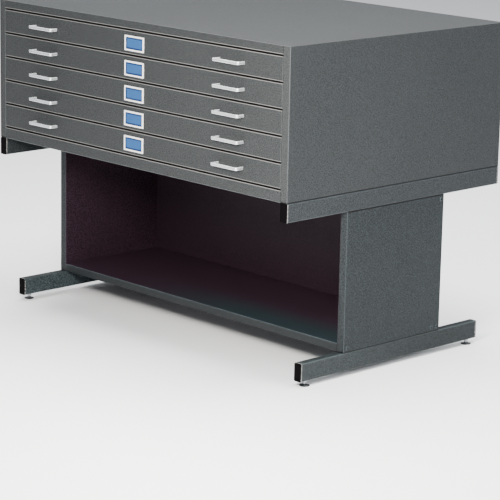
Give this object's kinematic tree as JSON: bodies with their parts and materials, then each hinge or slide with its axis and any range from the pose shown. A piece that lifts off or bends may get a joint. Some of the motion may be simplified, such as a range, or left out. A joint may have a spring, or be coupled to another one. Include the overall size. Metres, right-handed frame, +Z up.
{
  "type": "flat file cabinet",
  "caption": "Steel flat file cabinet: shallow wide drawers with bow handles and label holders, on a raised base with end frames and a book shelf.",
  "frame": {"origin": "on the floor, under the middle of the bounding box", "axes": "+X to the right of someone who faces the drawers, +Y to the back, +Z up; the drawers open towards -Y"},
  "size_m": [1.224, 0.8636, 0.9176],
  "materials": {
    "cabinet_paint": "satin, finely speckled powder coat",
    "base_paint": "satin, finely speckled powder coat",
    "tray_paint": "satin powder coat",
    "screw_paint": "satin",
    "runner_steel": "zinc plated",
    "handle_metal": "polished",
    "label_frame": "satin",
    "card": "matte",
    "black_plastic": "fine grain",
    "glide_metal": "zinc plated",
    "roller_nylon": "smooth"
  },
  "bodies": {
    "cabinet": {"foot_tube_left": "base_paint", "foot_tube_right": "base_paint", "top_tube_left": "base_paint", "top_tube_right": "base_paint", "pedestal_left": "base_paint", "pedestal_right": "base_paint", "cabinet_side_left": "cabinet_paint", "cabinet_side_right": "cabinet_paint", "shelf": "base_paint", "base_back_panel": "base_paint", "tube_end_plugs": "black_plastic", "pedestal_screws": "screw_paint", "cabinet_top": "cabinet_paint", "cabinet_back": "cabinet_paint", "cabinet_bottom": "cabinet_paint", "drawer_runners": "runner_steel"},
    "glide_front_left_body": {"glide_front_left": "glide_metal"},
    "glide_front_right_body": {"glide_front_right": "glide_metal"},
    "glide_rear_left_body": {"glide_rear_left": "glide_metal"},
    "glide_rear_right_body": {"glide_rear_right": "glide_metal"},
    "drawer_1": {"drawer_1_front": "cabinet_paint", "drawer_1_tray": "tray_paint", "drawer_1_hood": "tray_paint", "drawer_1_handles": "handle_metal", "drawer_1_label_holder": "label_frame", "drawer_1_label_card": "card"},
    "depressor_1": {"drawer_1_depressor": "tray_paint"},
    "rollers_1": {"drawer_1_rollers": "roller_nylon"},
    "drawer_2": {"drawer_2_front": "cabinet_paint", "drawer_2_tray": "tray_paint", "drawer_2_hood": "tray_paint", "drawer_2_handles": "handle_metal", "drawer_2_label_holder": "label_frame", "drawer_2_label_card": "card"},
    "depressor_2": {"drawer_2_depressor": "tray_paint"},
    "rollers_2": {"drawer_2_rollers": "roller_nylon"},
    "drawer_3": {"drawer_3_front": "cabinet_paint", "drawer_3_tray": "tray_paint", "drawer_3_hood": "tray_paint", "drawer_3_handles": "handle_metal", "drawer_3_label_holder": "label_frame", "drawer_3_label_card": "card"},
    "depressor_3": {"drawer_3_depressor": "tray_paint"},
    "rollers_3": {"drawer_3_rollers": "roller_nylon"},
    "drawer_4": {"drawer_4_front": "cabinet_paint", "drawer_4_tray": "tray_paint", "drawer_4_hood": "tray_paint", "drawer_4_handles": "handle_metal", "drawer_4_label_holder": "label_frame", "drawer_4_label_card": "card"},
    "depressor_4": {"drawer_4_depressor": "tray_paint"},
    "rollers_4": {"drawer_4_rollers": "roller_nylon"},
    "drawer_5": {"drawer_5_front": "cabinet_paint", "drawer_5_tray": "tray_paint", "drawer_5_hood": "tray_paint", "drawer_5_handles": "handle_metal", "drawer_5_label_holder": "label_frame", "drawer_5_label_card": "card"},
    "depressor_5": {"drawer_5_depressor": "tray_paint"},
    "rollers_5": {"drawer_5_rollers": "roller_nylon"}
  },
  "joints": [
    {"name": "glide_front_left_height", "type": "slide", "parent": "cabinet", "child": "glide_front_left_body", "axis": [0, 0, -1], "range_m": [0, 0.012]},
    {"name": "glide_front_right_height", "type": "slide", "parent": "cabinet", "child": "glide_front_right_body", "axis": [0, 0, -1], "range_m": [0, 0.012]},
    {"name": "glide_rear_left_height", "type": "slide", "parent": "cabinet", "child": "glide_rear_left_body", "axis": [0, 0, -1], "range_m": [0, 0.012]},
    {"name": "glide_rear_right_height", "type": "slide", "parent": "cabinet", "child": "glide_rear_right_body", "axis": [0, 0, -1], "range_m": [0, 0.012]},
    {"name": "drawer_1_slide", "type": "slide", "parent": "cabinet", "child": "drawer_1", "axis": [0, -1, 0], "range_m": [0, 0.62]},
    {"name": "depressor_1_hinge", "type": "hinge", "parent": "drawer_1", "child": "depressor_1", "pos_m": [0, -0.3944, 0.8723], "axis": [1, 0, 0], "range_deg": [0, 29]},
    {"name": "rollers_1_spin", "type": "hinge", "parent": "drawer_1", "child": "rollers_1", "pos_m": [0, 0.3558, 0.8523], "axis": [1, 0, 0], "range_deg": [0, 3300]},
    {"name": "drawer_2_slide", "type": "slide", "parent": "cabinet", "child": "drawer_2", "axis": [0, -1, 0], "range_m": [0, 0.62]},
    {"name": "depressor_2_hinge", "type": "hinge", "parent": "drawer_2", "child": "depressor_2", "pos_m": [0, -0.3944, 0.80245], "axis": [1, 0, 0], "range_deg": [0, 29]},
    {"name": "rollers_2_spin", "type": "hinge", "parent": "drawer_2", "child": "rollers_2", "pos_m": [0, 0.3558, 0.78245], "axis": [1, 0, 0], "range_deg": [0, 3300]},
    {"name": "drawer_3_slide", "type": "slide", "parent": "cabinet", "child": "drawer_3", "axis": [0, -1, 0], "range_m": [0, 0.62]},
    {"name": "depressor_3_hinge", "type": "hinge", "parent": "drawer_3", "child": "depressor_3", "pos_m": [0, -0.3944, 0.7326], "axis": [1, 0, 0], "range_deg": [0, 29]},
    {"name": "rollers_3_spin", "type": "hinge", "parent": "drawer_3", "child": "rollers_3", "pos_m": [0, 0.3558, 0.7126], "axis": [1, 0, 0], "range_deg": [0, 3300]},
    {"name": "drawer_4_slide", "type": "slide", "parent": "cabinet", "child": "drawer_4", "axis": [0, -1, 0], "range_m": [0, 0.62]},
    {"name": "depressor_4_hinge", "type": "hinge", "parent": "drawer_4", "child": "depressor_4", "pos_m": [0, -0.3944, 0.66275], "axis": [1, 0, 0], "range_deg": [0, 29]},
    {"name": "rollers_4_spin", "type": "hinge", "parent": "drawer_4", "child": "rollers_4", "pos_m": [0, 0.3558, 0.64275], "axis": [1, 0, 0], "range_deg": [0, 3300]},
    {"name": "drawer_5_slide", "type": "slide", "parent": "cabinet", "child": "drawer_5", "axis": [0, -1, 0], "range_m": [0, 0.62]},
    {"name": "depressor_5_hinge", "type": "hinge", "parent": "drawer_5", "child": "depressor_5", "pos_m": [0, -0.3944, 0.5929], "axis": [1, 0, 0], "range_deg": [0, 29]},
    {"name": "rollers_5_spin", "type": "hinge", "parent": "drawer_5", "child": "rollers_5", "pos_m": [0, 0.3558, 0.5729], "axis": [1, 0, 0], "range_deg": [0, 3300]}
  ],
  "couplings": [
    {"joint": "rollers_1_spin", "follows": "drawer_1_slide", "rad_per_m": 90.909},
    {"joint": "rollers_2_spin", "follows": "drawer_2_slide", "rad_per_m": 90.909},
    {"joint": "rollers_3_spin", "follows": "drawer_3_slide", "rad_per_m": 90.909},
    {"joint": "rollers_4_spin", "follows": "drawer_4_slide", "rad_per_m": 90.909},
    {"joint": "rollers_5_spin", "follows": "drawer_5_slide", "rad_per_m": 90.909}
  ]
}
